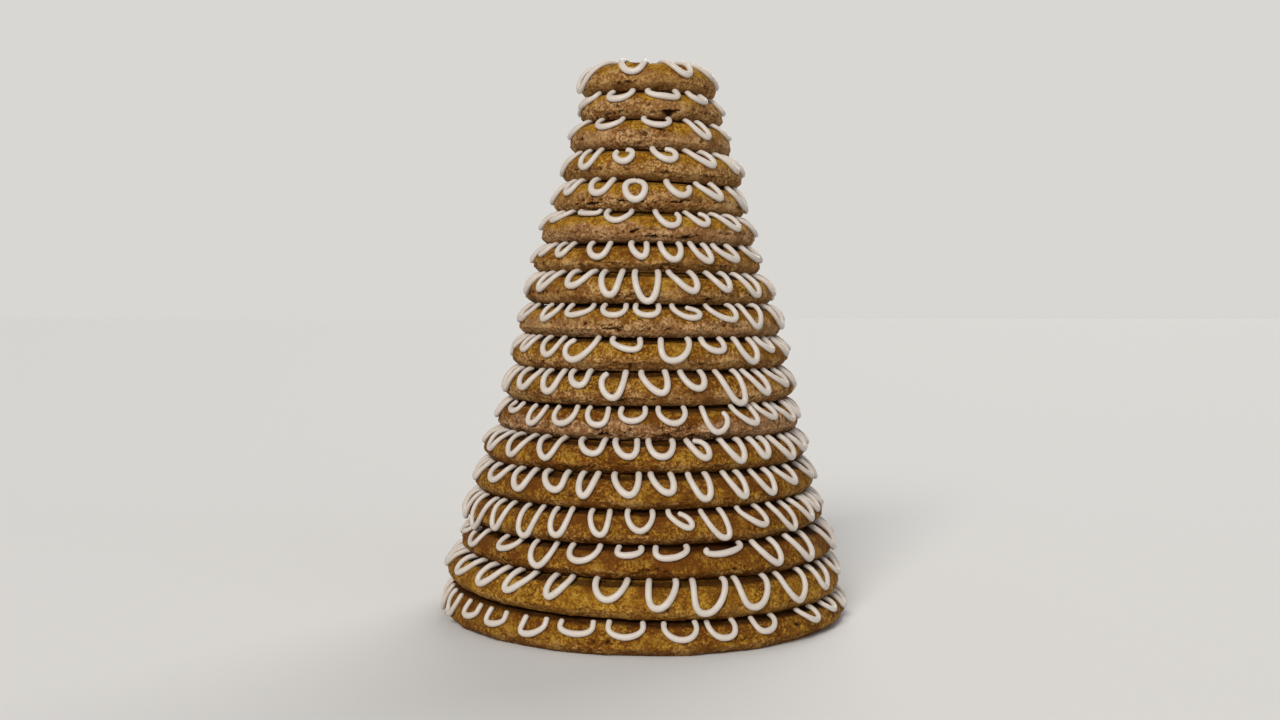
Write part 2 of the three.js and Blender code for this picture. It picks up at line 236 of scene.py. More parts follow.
class Ring:
    """One ring's own sizes, and where it stands. Its rope's middle line runs half the rope's
    width inside its outline, and its crest carries the tilt of the ring above."""

    def __init__(self, number, seat):
        _, thickness_error, self.drift, tilt, self.loops = RINGS[number - 1]
        self.number = number
        self.seat = seat
        self.tilt = np.radians(tilt)
        self.pitch = TOP_PITCH + PITCH_STEP * (number - 1) + thickness_error
        above = RINGS[max(number - 2, 0)]
        self.rise = np.tan(np.radians(above[3]) - self.tilt)
        self.step = above[2] - self.drift - self.pitch * np.sin(self.tilt)

    def middle(self, turn):
        """How far out the rope's middle line runs."""
        return outline(self.number, turn) - ROPE_WIDTH / 2

    def crest(self, turn):
        """Height of the crest: a seam under the ring above, and sloped along X as that one is."""
        return self.pitch - SEAM - self.rise * self.middle(turn) * np.sin(turn)

    def cover(self, turn):
        """The outline of the ring above, from this ring's middle."""
        return outline(self.number - 1, turn) + self.step * np.sin(turn)

    def place(self, turn, out, up):
        """The point at a turn round the ring, out from the rope's middle line and up."""
        reach = self.middle(turn) + out
        return np.stack([reach * np.sin(turn), -reach * np.cos(turn), up + 0 * turn], axis=-1)

    def stand(self, points):
        """Turns points by the ring's tilt about Y and moves them onto its seat."""
        x, y, z = np.moveaxis(points, -1, 0)
        side, up = np.sin(self.tilt), np.cos(self.tilt)
        return np.stack([up * x + side * z, y, up * z - side * x], axis=-1) + self.seat


def stack():
    """The rings from the bottom up, each seated on the one below: a seat is the seat below plus
    (step, 0, pitch), turned by the tilt there."""
    rings = []
    seat = np.zeros(3)
    for number in range(len(RINGS), 0, -1):
        ring = Ring(number, seat)
        rings.append(ring)
        seat = ring.stand(np.array([ring.step, 0, ring.pitch]))
    return rings[::-1]


# The crust

CRUST_STEP = 0.72  # between points round a ring's outline
EDGE_TUCK = 2.8  # the rope's outer lower edge turns in this far under the plain section

# Where relief is let out, in degrees from the crest down either side: from nothing to all of it
# beside the crest, and from all of it to nothing round the edges of the underside.
CREST_EDGE = (8, 30)
UNDERSIDE_EDGE = (150, 170)

# The crease under the ring above: its depth on the small and on the large rings, from which
# ring to which it deepens, and in degrees where it begins on the crown and where it ends below.
CREASE_DEPTHS = (0.5, 1.2)
CREASE_RINGS = (4, 8)
CREASE_START = (-9, 0)
CREASE_END = (42, 18)

# Soft swells of a ring's whole form, as height and size, and fine lumps of its surface, as size,
# height on the skin, and what the torn places add to it.
SWELLS = ((0.55, 16), (0.40, 6.5))
FINE_LUMPS = ((2.8, 0.18, 0.14), (1.4, 0.16, 0.16))

# Crumbs and pits, as spacing, widest radius, and the share of places that have one.
CRUMBS = (3.0, 1.5, 0.80)
PITS = (4.6, 1.8, 0.30)
PORES = (2.6, 0.7, 0.35)
SPLIT_PITS = (2.6, 1.7, 0.75)
CRUMB_HEIGHT = 0.55
PIT_DEPTH = 1.05
PORE_DEPTHS = (0.3, 0.6)  # shares of a pit's depth: on the skin, and what torn places add
FRAY = 1.2  # how far the outlines of crumbs and pits are pulled about ...
FRAY_SIZE = 2.2  # ... by lumps of this size

CRACK_WIDTHS = (0.05, 0.85, 1.3)  # least, usual and greatest share of its width a crack opens
CRACK_SIDE = (1, 0.4)  # where its side begins and ends, as shares of the way from its line
CRACK_END = 1.3  # its pits reach past its ends: 1 would stop them there
CRACK_SHOULDER = 1.2  # how far past its sides its pits reach
DARK_DEPTH = 1.2  # from this depth on a crack gets as much painted shade as the deepest pit
SPLIT_HEIGHT = 5.2  # of the split edge, above the seat
SPLIT_REACH = 1.5  # how far from the split edge its pits reach
SPLIT_OPENS = (0.15, 0.6)  # where along it the edge is split: from nothing to fully
LEDGE = 0.8  # how far the side steps back under the split edge ...
LEDGE_TOP = (-0.1, 0.5)  # ... from how far above it to how far below it ...
LEDGE_FADE = 2.6  # ... and how far below it that fades out
TORN_SINK = 0.25  # how far the torn side lies below the skin
COARSE_PATCHES = (-0.30, 0.40)  # lumps at which its patches begin and are fully coarse
CRUMBLINESS = (0.15, 0.95)  # of the torn side, and what a coarse patch adds
SKIN_BORDER = 9  # half the width of the skin's lower border, in degrees
FLANK = (56, 82)  # degrees down where the crown's brown and painted shade give way to the side's brown
FOOT_BROWN_AND_SHADE = (3.4, 0.8)  # heights above the seat between which the foot browns, with painted shade under the lower edge


def lower_edge(angle):
    """How far out the rope's outer lower edge lies, at angles from its belly down to its foot."""
    half, foot = ROPE_WIDTH / 2, FOOT_WIDTH / 2
    return foot + (half - foot) * np.cos(angle) - EDGE_TUCK * np.sin(angle)


def stretch(start, end, steps):
    """Even steps from start on, which stop short of end, where the next stretch begins."""
    return np.linspace(start, end, steps, endpoint=False)


def section():
    """The rope's section, round from the inner edge of its underside: out from the middle line,
    up by itself, up as a share of the dome's rise over the belly, and down. Flat below, a
    quarter of an ellipse at both lower edges, the outer one tucked in by the sine of its angle,
    and half an ellipse for the dome. The outer side has the most steps, because it shows most."""
    half, foot = ROPE_WIDTH / 2, FOOT_WIDTH / 2
    flat = stretch(-foot, foot - EDGE_TUCK, 5)
    edge = stretch(np.pi / 2, 0, 11)
    outer = stretch(np.pi / 2, 0, 30)
    inner = stretch(0, -np.pi / 2, 9)
    under = stretch(0, np.pi / 2, 4)
    down = np.concatenate([0 * flat + np.pi, np.pi / 2 + edge, outer, inner,
                           -np.pi / 2 - under])
    out = np.concatenate([flat, lower_edge(edge), half * np.sin(outer),
                          half * np.sin(inner), -foot - (half - foot) * np.cos(under)])
    low = np.concatenate([0 * flat, BELLY_HEIGHT * (1 - np.sin(edge)), 0 * outer + BELLY_HEIGHT,
                          0 * inner + BELLY_HEIGHT, BELLY_HEIGHT * (1 - np.sin(under))])
    share = np.concatenate([0 * flat, 0 * edge, np.cos(outer), np.cos(inner), 0 * under])
    return out, low, share, down


def normals(grid):
    """Directions that face out of a closed grid of points: the cross product of the differences
    along its rows and along its columns."""
    along = np.roll(grid, -1, axis=0) - np.roll(grid, 1, axis=0)
    across = np.roll(grid, -1, axis=1) - np.roll(grid, 1, axis=1)
    direction = np.cross(along, across)
    return direction / np.linalg.norm(direction, axis=-1, keepdims=True)


def swells(ring, points):
    """How far a ring's smooth form swells out or sinks in: two sizes of soft lumps."""
    seed = 20 * ring.number
    return sum(height * lumps(points, size, seed + n) for n, (height, size) in enumerate(SWELLS))


def freedom(ring, down):
    """How much of the swells and the crumb is let out at angles down: none on the crest, which
    the ring above lies on, and all of it past CREST_EDGE. The top ring carries none."""
    if ring.number == 1:
        return np.ones_like(down)
    return between(*CREST_EDGE, np.degrees(np.abs(down)))


def dimples(points, pattern, seed):
    """Round-bottomed pores: c (2 - c), where c is how near a place is to a pore's middle."""
    near = pores(points, *pattern, seed)
    return near * (2 - near)


def crumb(ring, points, torn, split):
    """The fine relief, in millimetres, and how deep a place is in a pit, from 0 to 1: small lumps
    everywhere, where the crust is torn also crumbs that stand out and pits between them, and
    more pits along the split edge of the skin, all with outlines that other lumps make ragged."""
    seed = 20 * ring.number
    drift = [lumps(points, FRAY_SIZE, seed + part) for part in (4, 5, 6)]
    moved = points + FRAY * np.stack(drift, axis=-1)
    height = 0
    for n, (size, skin, more) in enumerate(FINE_LUMPS):
        height = height + (skin + more * torn) * lumps(points, size, seed + 2 + n)
    height += CRUMB_HEIGHT * torn * dimples(moved, CRUMBS, seed + 9)
    hollow = dimples(moved, PITS, seed + 7) * torn
    skin, more = PORE_DEPTHS
    hollow = np.maximum(hollow, dimples(moved, PORES, seed + 8) * (skin + more * torn))
    hollow = np.maximum(hollow, dimples(moved, SPLIT_PITS, seed + 10) * split)
    return height - PIT_DEPTH * hollow, hollow


def cracks(ring, points, turn, up):
    """Depth of the cracks at places on a ring, and how near a place is to one, from 0 to 1. A
    crack is a wandering line, deep along its middle, with steep sides that two sizes of lumps
    make ragged."""
    depth, near = 0 * turn + 0 * up, 0 * turn + 0 * up
    ragged = 0.45 * lumps(points, 1.6, 300 + ring.number) + 0.3 * lumps(points, 0.9, 330)
    own = [crack[1:] for crack in CRACKS if crack[0] == ring.number]
    for angle, height, length, width, deepest, slope in own:
        along = (turn - np.radians(angle)) * outline(ring.number, 0)
        rise = up - height
        lean = np.radians(slope)
        forward = along * np.cos(lean) + rise * np.sin(lean)
        aside = rise * np.cos(lean) - along * np.sin(lean) + ragged
        inside, beside = gash(forward, aside, length, width, angle)
        depth = np.maximum(depth, deepest * inside)
        near = np.maximum(near, beside)
    return depth, near


def gash(forward, aside, length, width, seed):
    """A crack along the line aside = 0: how far inside it a place is, and how near to it. Its
    line and its half-width wander by lumps along it, 1 - (2 forward / length) ^ 2 closes it
    towards its ends, and the nearness is a bell as wide as the crack and its shoulders."""
    line = np.stack([forward, 0 * forward, 0 * forward], axis=-1)
    seed = abs(int(seed))
    aside = np.abs(aside + 0.9 * lumps(line, 5, seed))
    ends = (2 * forward / length) ** 2
    least, usual, most = CRACK_WIDTHS
    gape = np.clip(1 - ends, 0, 1) * (usual + 0.6 * lumps(line, 2.6, seed + 2))
    half = width / 2 * np.clip(gape, least, most)
    bell = np.exp(-((aside / (width / 2 + CRACK_SHOULDER)) ** 2))
    return between(*CRACK_SIDE, aside / half), bell * np.clip(CRACK_END - ends, 0, 1)


def split_edge(ring, points, turn, up, torn):
    """The edge where the skin has split from the side below it: how near a place is to it, from 0
    to 1, and how far back the side steps under it. The nearness is a bell round a line that
    wanders with lumps of the outline, where other lumps are high or the side is torn, and the
    step is steep above and fades out downwards."""
    number = ring.number
    far = outline(number, 0)
    rim = np.stack([far * np.sin(turn), far * np.cos(turn), 0 * turn], axis=-1)
    line = SPLIT_HEIGHT + vary(number, 4) + 1.7 * lumps(rim, 15, number) + 0.8 * lumps(rim, 4, 5)
    gape = between(*SPLIT_OPENS, 0.15 + 0.45 * torn + 0.7 * lumps(rim, 9, 90 + number))
    below = line + 0.5 * lumps(points, 1.5, 350 + number) - up
    step = between(*LEDGE_TOP, below) * np.exp(-((below / LEDGE_FADE) ** 2))
    return np.exp(-((below / SPLIT_REACH) ** 2)) * gape, step * gape


def creases(ring, points, down):
    """How deep the crown is drawn in where the ring above lies on it: a groove round its outer
    side, shallow on the small rings and deeper on the large ones, with a ragged lower side."""
    shallow, deep = CREASE_DEPTHS
    depth = shallow + (deep - shallow) * between(*CREASE_RINGS, ring.number)
    if ring.number == 1:
        depth = 0
    down = down + 4 * lumps(points, 7, 400 + ring.number)
    return depth * between(*CREASE_START, down) * between(*CREASE_END, down)


def crust(ring, crown_brown_and_shade, flank, torn, skin_edge):
    """A ring's crust and its marks: its section carried round its middle line, pushed out by its
    swells and its crumb and in by its cracks, by the ledge under its split edge and by the crease
    under the ring above. The crumb is coarse in patches of the torn side. The crust stays smooth
    on its flat underside and on the crest, where the rings lie on each other."""
    out, low, share, down = section()
    steps = int(2 * np.pi * outline(ring.number, 0) / CRUST_STEP)
    turn = np.linspace(0, 2 * np.pi, steps, endpoint=False)[:, None]
    crest = ring.crest(turn)
    up = low + share * (crest - BELLY_HEIGHT)
    smooth = ring.place(turn, out[None, :], up)
    facing = normals(smooth)
    ragged = 12 * lumps(smooth, 9, 7 + ring.number) + 9 * lumps(smooth, 3.1, 40 + ring.number)
    lower = np.degrees(down)[None, :] + ragged
    side = between(-SKIN_BORDER, SKIN_BORDER, lower - skin_edge)
    free = freedom(ring, down) * (1 - between(*UNDERSIDE_EDGE, np.degrees(np.abs(down))))
    rough = torn * side
    coarse = between(*COARSE_PATCHES, lumps(smooth, 11, 420 + ring.number))
    outside = down[None, :] > 0
    from_front = (turn + np.pi) % (2 * np.pi) - np.pi
    crack, near = cracks(ring, smooth, from_front, up)
    edge, step = split_edge(ring, smooth, turn, up, torn)
    crack, step = crack * outside, step * outside
    plain, more = CRUMBLINESS
    crumbly = rough * (plain + more * coarse)
    fine, hollow = crumb(ring, smooth, crumbly, np.maximum(edge, near) * outside)
    height = swells(ring, smooth) + fine - TORN_SINK * rough - crack - LEDGE * step
    crease = creases(ring, smooth, np.degrees(down)[None, :])
    marks = {
        "side": side,
        # how deep a place lies in a pit or crack, which sets the painted shade there
        "hollow": np.clip(np.maximum(hollow, crack / DARK_DEPTH), 0, 1),
        "grain": np.clip(0.5 + fine, 0, 1),
        # browning, which on the crown is also painted shade under the ring above
        "brown_and_shade": crown_brown_and_shade + (flank - crown_brown_and_shade) * between(*FLANK, lower),
        "torn": rough,
        "coarse": coarse,
        # the browned foot, also painted shade under the ring's lower edge
        "foot": between(*FOOT_BROWN_AND_SHADE, up + 0.9 * lumps(smooth, 4, 60 + ring.number)) * outside,
        # the crease's depth, which also sets the painted shade in it
        "crease": crease,
    }
    return ring.stand(smooth + facing * (height * free - crease)[..., None]), marks


# The icing


def loops_of(ring):
    """The loops of one ring: those of its row, then as many more of the same kind round its back
    as fit. No loop is wider than the room it has beside either neighbour, or leans into one."""
    loops = np.array([[float(n) for n in entry.split("/")] for entry in ring.loops.split()])
    first, last = loops[0, 0], loops[-1, 0]
    _, width, tip, _ = loops.mean(axis=0)
    behind = 360 - (last - first)
    steps = int(behind / (last - first) * (len(loops) - 1) + 0.5)
    n = np.arange(1, steps)
    number = ring.number
    astray, broader, higher, slanted = BACK_VARIETY
    more = np.stack([last + (n + astray * vary(number, n)) * behind / steps,
                     width * (1 + broader * vary(number, 2 * n + 1)),
                     tip + higher * vary(number, 3 * n + 2),
                     slanted * vary(number, 5 * n + 3)], axis=-1)
    loops = np.concatenate([loops, more])
    angle, width, tip, lean = loops.T.copy()
    reach = outline(number, 0) - BEAD_WIDTH
    ahead = np.append(angle[1:], angle[0] + 360) - angle
    apart = np.radians(ahead) * reach - BEAD_WIDTH - LEAST_GAP
    width = np.minimum(width, np.minimum(apart, np.roll(apart, 1)))
    for n in range(len(angle)):
        room = apart[n - 1] - LOOP_TAPER * (width[n] + width[n - 1]) / 2
        if n > 0:
            lean[n] = max(lean[n], lean[n - 1] - room)
        else:
            lean[-1] = min(lean[-1], lean[0] + room)
    return angle, width, tip, lean


def leg_start(ring, turn):
    """How far down the dome the loops begin: just inside the outline of the ring above."""
    if ring.number == 1:
        return np.full_like(turn, np.radians(TOP_LEG_START))
    share = (ring.cover(turn) - LEG_SHELTER - ring.middle(turn)) / (ROPE_WIDTH / 2)
    return np.arcsin(share)


# The loops' centre lines
HALF_STEPS = 22  # points of half a loop ...
LEG_STEPS = 5  # ... and of its leg under the ring above
LEG_BEGIN = 0.7  # how far above the loop's start its leg's first point lies ...
LEG_END = 3.4  # ... and its last
LEG_DRAW_IN = 0.12  # how much a loop's legs draw together there, as a share of the way
LOOP_SQUARENESS = 2.2  # the superellipse's power: 2 is an ellipse, more is squarer ...
SQUARENESS_VARIETY = 0.4  # ... and how much it varies
CURL_WAIST = 0.42  # height of a curled loop's widest place, as a share of its length
TIP_INSET = 0.9  # from the tip of a loop's outline to that of its centre line
SHALLOW_TIP = 11  # loops whose tips are above this may be shorter ...
SHORTEST_SHALLOW = 8  # ... down to so many degrees of the dome
LEAN_POWER = 1.5  # a loop leans more and more towards its tip
SOFTENINGS = 3

# The bead
BEAD_STEPS = 38
BEAD_SIDES = 12
BEAD_SPACING = 1.1  # about how far apart its steps are
BEAD_HALF = 1.5  # half its width ...
BEAD_SLIMMER = 0.1  # ... and how much less that is on the large rings ...
SLIMMER_RINGS = (4, 9)  # ... as it becomes between these two
BEAD_LIFT = 0.95  # its middle's height above the crust
BEAD_TALL = 1.20  # its own height above its middle
LOOP_VARIETY = 0.07  # how much its thickness varies from loop to loop ...
TIP_SWELL = 0.12  # ... grows towards the tip ...
TIP_STRETCH = (0.2, 0.5, 0.8)  # ... from where along the loop over where to where ...
BEAD_LUMPS = (0.05, 2.5)  # ... and varies along it by lumps this high and this wide
FLATTEST = 0.6  # least share of its height, under the ring above
BLUNTEST = 0.999  # how far towards a point the rounding of its ends goes
GAP_TURN = 0.6  # the slope of the gap above it, as a share of the dome's


def resample(path, count):
    """The same lines with their points evenly spaced along them."""
    gaps = np.linalg.norm(np.diff(path, axis=1), axis=-1)
    along = np.concatenate([np.zeros((len(path), 1)), np.cumsum(gaps, axis=1)], axis=1)
    even = np.linspace(0, 1, count)
    rows = []
    for line, lengths in zip(path, along):
        rows.append([np.interp(even * lengths[-1], lengths, part) for part in line.T])
    return np.moveaxis(np.array(rows), 1, 2)


def soften(path, rounds):
    """Rounds bends off: each inner point moves halfway to the middle of its neighbours."""
    for _ in range(rounds):
        path[:, 1:-1] = (path[:, :-2] + 2 * path[:, 1:-1] + path[:, 2:]) / 4
    return path


def half_loop(width, length, bend, curl):
    """One side of a loop from its tip to its end, as across and fall. Plain: a quarter of the
    superellipse (across / half width) ^ bend + (fall / length) ^ 2 = 1, and then its leg straight
    on under the ring above. Curled: a quarter of an ellipse up to the loop's widest place, and on
    round another one above it, by the curl."""
    width, length, bend, curl = (value[:, None] for value in (width, length, bend, curl))
    swing = np.linspace(np.pi / 2, 0, HALF_STEPS)[None, :]
    across = np.cos(swing) ** (2 / bend) * width / 2
    legs = np.linspace(-LEG_BEGIN, -LEG_END, LEG_STEPS)[None, :] + 0 * length
    plain = np.stack([np.concatenate([across, width / 2 + LEG_DRAW_IN * legs], axis=1),
                      np.concatenate([np.sin(swing) * length, legs], axis=1)], axis=-1)
    share = np.linspace(0, 1, HALF_STEPS + LEG_STEPS)[None, :]
    swing = np.pi / 2 - share * (np.pi / 2 + curl)
    waist = CURL_WAIST * length
    reach = np.where(swing > 0, length - waist, waist)
    curled = np.stack([np.cos(swing) * width / 2, waist + reach * np.sin(swing)], axis=-1)
    return np.where(curl[..., None] > 0, curled, plain)


def loop_lines(ring):
    """The loops' centre lines as turn and down: two halves that lean together, by the lean times
    (fall / length) ^ LEAN_POWER, with both legs going on under the ring above unless they curl."""
    angle, width, tip, lean = loops_of(ring)
    number = ring.number
    order = np.arange(len(angle))
    share = (tip - BELLY_HEIGHT) / (ring.pitch - SEAM - BELLY_HEIGHT)
    lowest = np.where(share > 0, np.arccos(np.clip(share, 0, 1)),
                      np.pi / 2 + (BELLY_HEIGHT - tip) / DOME_RADIUS)
    start = leg_start(ring, np.radians(angle))
    shortest = np.where(tip > SHALLOW_TIP, SHORTEST_SHALLOW, SHORTEST_LOOP)
    length = np.maximum(lowest - start, np.radians(shortest)) * DOME_RADIUS - TIP_INSET
    most = np.minimum(STEEPEST_LEAN * length, WIDEST_LEAN * width)
    lean = np.clip(lean, -most, most)
    bend = LOOP_SQUARENESS + SQUARENESS_VARIETY * vary(number, 11 * order + 5)
    curl = np.zeros((2, len(angle)))
    for _, loop, left, right in (row for row in CURLS if row[0] == number):
        curl[:, loop - 1] = np.radians((left, right))
    left, right = (half_loop(width, length, bend, side) for side in curl)
    line = np.concatenate([left[:, :0:-1] * (-1, 1), right], axis=1)
    fall = np.clip(line[..., 1] / length[:, None], 0, 1)
    line[..., 0] += lean[:, None] * fall ** LEAN_POWER
    line = soften(resample(line, BEAD_STEPS), SOFTENINGS)
    turn = np.radians(angle)[:, None] + line[..., 0] / outline(number, 0)
    return turn, leg_start(ring, turn) + line[..., 1] / DOME_RADIUS


def on_dome(ring, turn, down):
    """A place on the dome and the direction that faces out of it there. Below the widest place
    it goes straight down, where loops hang free."""
    slope = np.clip(down, -np.pi / 2, np.pi / 2)
    hang = np.maximum(down - np.pi / 2, 0) * DOME_RADIUS
    rise = ring.crest(turn) - BELLY_HEIGHT
    half = ROPE_WIDTH / 2
    place = ring.place(turn, half * np.sin(slope), BELLY_HEIGHT + rise * np.cos(slope) - hang)
    out, up = rise * np.sin(slope), half * np.cos(slope)
    size = np.hypot(out, up)
    facing = np.stack([out * np.sin(turn), -out * np.cos(turn), up], axis=-1) / size[..., None]
    return place, facing


def room_above(ring, turn, down):
    """Height of the gap between the dome and the ring above, whose underside turns up at its edge
    as its section says. The upright gap is turned towards the dome's facing by a cosine."""
    if ring.number == 1:
        return np.full_like(turn, np.inf)
    out = ROPE_WIDTH / 2 * np.sin(np.clip(down, -np.pi / 2, np.pi / 2))
    inside = ring.cover(turn) - ring.middle(turn) - out
    angle = np.linspace(0, np.pi / 2, 30)
    edge_in = ROPE_WIDTH / 2 - lower_edge(angle)
    edge_up = BELLY_HEIGHT * (1 - np.sin(angle))
    ceiling = ring.crest(turn) + SEAM + np.interp(inside, edge_in, edge_up)
    own = BELLY_HEIGHT + (ring.crest(turn) - BELLY_HEIGHT) * np.cos(down)
    gap = (ceiling - own) * np.cos(down * GAP_TURN)
    return np.where(inside > 0, gap, np.inf)


def icing(ring):
    """A ring's loops as beads: an ellipse carried along each centre line, a little sunk in the
    crust, thicker round the tip, flattened where it runs in under the ring above and half as much
    narrower there, and rounded at both ends by a quarter of a circle."""
    turn, down = loop_lines(ring)
    base, facing = on_dome(ring, turn, down)
    base = base + facing * (swells(ring, base) * freedom(ring, down))[..., None]
    count, steps = turn.shape
    order = np.arange(count)[:, None]
    along = np.linspace(0, 1, steps)[None, :]
    begin, tip, end = TIP_STRETCH
    near_tip = between(begin, tip, along) - between(tip, end, along)
    uneven, size = BEAD_LUMPS
    thick = 1 + LOOP_VARIETY * vary(ring.number, 13 * order + 1) + TIP_SWELL * near_tip
    thick = thick + uneven * lumps(base, size, 500 + ring.number)
    wide = (BEAD_HALF - BEAD_SLIMMER * between(*SLIMMER_RINGS, ring.number)) * thick
    tall, lift = BEAD_TALL * thick, BEAD_LIFT * thick
    squeeze = np.clip(room_above(ring, turn, down) / (lift + tall), FLATTEST, 1)
    ends = np.minimum(along, 1 - along) * steps * BEAD_SPACING / BEAD_HALF
    cap = np.sqrt(1 - np.clip(1 - ends, 0, BLUNTEST) ** 2)
    tall, lift = tall * squeeze * cap, lift * squeeze
    wide = wide * cap * (1 + squeeze) / 2
    centre = base + facing * lift[..., None]
    ahead = np.gradient(centre, axis=1)
    ahead = ahead / np.linalg.norm(ahead, axis=-1, keepdims=True)
    over = facing - (facing * ahead).sum(axis=-1, keepdims=True) * ahead
    over = over / np.linalg.norm(over, axis=-1, keepdims=True)
    aside = np.cross(ahead, over)
    angle = np.linspace(0, 2 * np.pi, BEAD_SIDES, endpoint=False)[None, None, :, None]
    ring_points = (centre[:, :, None] + aside[:, :, None] * wide[..., None, None] * np.cos(angle)
                   + over[:, :, None] * tall[..., None, None] * np.sin(angle))
    return ring.stand(ring_points), ring.stand(centre)


# Meshes


def quads(rows, columns, close_rows):
    """Faces between neighbouring points of a grid, whose columns come round to the first again,
    as its rows do if close_rows is true."""
    row = np.arange(rows if close_rows else rows - 1)[:, None]
    column = np.arange(columns)[None, :]
    after, beside = (row + 1) % rows, (column + 1) % columns
    corners = [row * columns + column, after * columns + column,
               after * columns + beside, row * columns + beside]
    return np.stack(corners, axis=-1).reshape(-1, 4)


def put(name, data):
    """A new object in the scene."""
    made = bpy.data.objects.new(name, data)
    bpy.context.scene.collection.objects.link(made)
    return made


def piece(name, points, faces, material, marks=None):
    """A smooth mesh of points in millimetres and of faces, all with as many corners, with its
    marks as attributes."""
    mesh = bpy.data.meshes.new(name)
    corners = faces.shape[1]
    mesh.vertices.add(len(points))
    mesh.vertices.foreach_set("co", (points * MM).astype(np.float32).ravel())
    mesh.loops.add(faces.size)
    mesh.loops.foreach_set("vertex_index", faces.astype(np.int32).ravel())
    mesh.polygons.add(len(faces))
    mesh.polygons.foreach_set("loop_start", np.arange(0, faces.size, corners, dtype=np.int32))
    mesh.polygons.foreach_set("use_smooth", np.ones(len(faces), dtype=bool))
    mesh.update(calc_edges=True)
    for mark, values in (marks or {}).items():
        attribute = mesh.attributes.new(mark, "FLOAT", "POINT")
        attribute.data.foreach_set("value", np.ravel(values).astype(np.float32))
    mesh.materials.append(material)
    return put(name, mesh)


def crust_piece(ring, material):
    """A ring's crust as a mesh of squares, closed both ways."""
    points, marks = crust(ring, *BAKING[ring.number - 1])
    rows, columns, _ = points.shape
    return piece("crust_%02d" % ring.number, points.reshape(-1, 3), quads(rows, columns, True),
                 material, marks)


def icing_piece(ring, material):
    """All loops of a ring in one mesh, each closed at both ends by a fan round its end point."""
    points, centre = icing(ring)
    count, steps, sides, _ = points.shape
    one = quads(steps, sides, False)
    one = np.concatenate([one[:, [0, 1, 2]], one[:, [0, 2, 3]]])
    side = np.arange(sides)
    beside = (side + 1) % sides
    last = (steps - 1) * sides
    first_fan = np.stack([0 * side + steps * sides, side, beside], axis=-1)
    last_fan = np.stack([0 * side + steps * sides + 1, last + beside, last + side], axis=-1)
    one = np.concatenate([one, first_fan, last_fan])
    each = steps * sides + 2
    points = np.concatenate([points.reshape(count, -1, 3), centre[:, :1], centre[:, -1:]], axis=1)
    faces = (one[None] + each * np.arange(count)[:, None, None]).reshape(-1, 3)
    return piece("icing_%02d" % ring.number, points.reshape(-1, 3), faces, material)


# Finishes


class Amount:
    """A number that varies over a surface. Arithmetic on it adds Math nodes."""

    def __init__(self, finish, socket):
        self.finish = finish
        self.socket = socket

    def math(self, operation, *others, swap=False):
        """A Math node on this amount and others, in the opposite order if swapped."""
        terms = [self, *others]
        if swap:
            terms.reverse()
        settings = {"operation": operation}
        return self.finish.node("ShaderNodeMath", settings, dict(enumerate(terms)))

    def __add__(self, other):
        return self.math("ADD", other)

    __radd__ = __add__

    def __sub__(self, other):
        return self.math("SUBTRACT", other)

    def __rsub__(self, other):
        return self.math("SUBTRACT", other, swap=True)

    def __mul__(self, other):
        return self.math("MULTIPLY", other)

    __rmul__ = __mul__

    def clipped(self):
        """The amount, but no less than 0 and no more than 1."""
        return self.math("MINIMUM", 1).math("MAXIMUM", 0)


class Nodes:
    """A node tree under construction."""

    def __init__(self, tree):
        self.tree = tree

    def node(self, kind, settings=None, sockets=None, output=0):
        """Adds a node: its settings first, then values or links into its sockets."""
        made = self.tree.nodes.new(kind)
        for name, value in (settings or {}).items():
            setattr(made, name, value)
        for key, value in (sockets or {}).items():
            self.link(value, made.inputs[key])
        return Amount(self, made.outputs[output])

    def link(self, value, socket):
        """Feeds a socket with an amount, or sets it to a plain value."""
        if isinstance(value, Amount):
            self.tree.links.new(value.socket, socket)
        else:
            socket.default_value = value


class Finish(Nodes):
    """A material under construction, whose shader is a Principled BSDF."""

    def __init__(self, name, **constants):
        self.material = bpy.data.materials.new(name)
        self.material.use_nodes = True
        super().__init__(self.material.node_tree)
        self.shader = self.tree.nodes["Principled BSDF"]
        for socket, value in constants.items():
            self.set(socket.replace("_", " "), value)
        self.place = self.node("ShaderNodeTexCoord", output="Object")

    def set(self, socket, value):
        """Feeds or sets one of the shader's sockets."""
        self.link(value, self.shader.inputs[socket])

    def mark(self, name):
        """One of the marks that the piece carries in its mesh."""
        return self.node("ShaderNodeAttribute", {"attribute_name": name}, output="Fac")

    def noise(self, size, detail, roughness):
        """Cloudy values round 0.5, with features of about this size in millimetres."""
        return self.node("ShaderNodeTexNoise", None, {
            "Vector": self.place, "Scale": 1 / (size * MM), "Detail": detail,
            "Roughness": roughness})

    def cells(self, size, shift):
        """Distance from the nearest of many scattered points, about this far apart in mm, in a
        pattern moved by this much along each axis, so that it doesn't fall in with another."""
        where = self.node("ShaderNodeVectorMath", {"operation": "ADD"},
                          {0: self.place, 1: (shift * MM, shift * MM, shift * MM)})
        return self.node("ShaderNodeTexVoronoi", None,
                         {"Vector": where, "Scale": 1 / (size * MM)}, output="Distance")

    def tones(self, size):
        """A random value from 0 to 1 for each of many grains of about this size in mm."""
        grains = self.node("ShaderNodeTexVoronoi", None,
                           {"Vector": self.place, "Scale": 1 / (size * MM)}, output="Color")
        return self.node("ShaderNodeSeparateColor", None, {0: grains})

    def step(self, value, low, high):
        """0 at low, 1 at high and smooth between, or the other way round if low is above."""
        return self.node("ShaderNodeMapRange", {"interpolation_type": "SMOOTHSTEP"},
                         {0: value, 1: low, 2: high, 3: 0.0, 4: 1.0})

    def mix(self, share, first, second):
        """A colour between two, by a share."""
        return self.node("ShaderNodeMix", {"data_type": "RGBA"}, {0: share, 6: first, 7: second},
                         output=2)

    def bump(self, height, depth):
        """Lets the surface stand out by height times depth in millimetres."""
        self.set("Normal", self.node("ShaderNodeBump", None, {
            "Strength": 1.0, "Distance": depth * MM, "Height": height}))


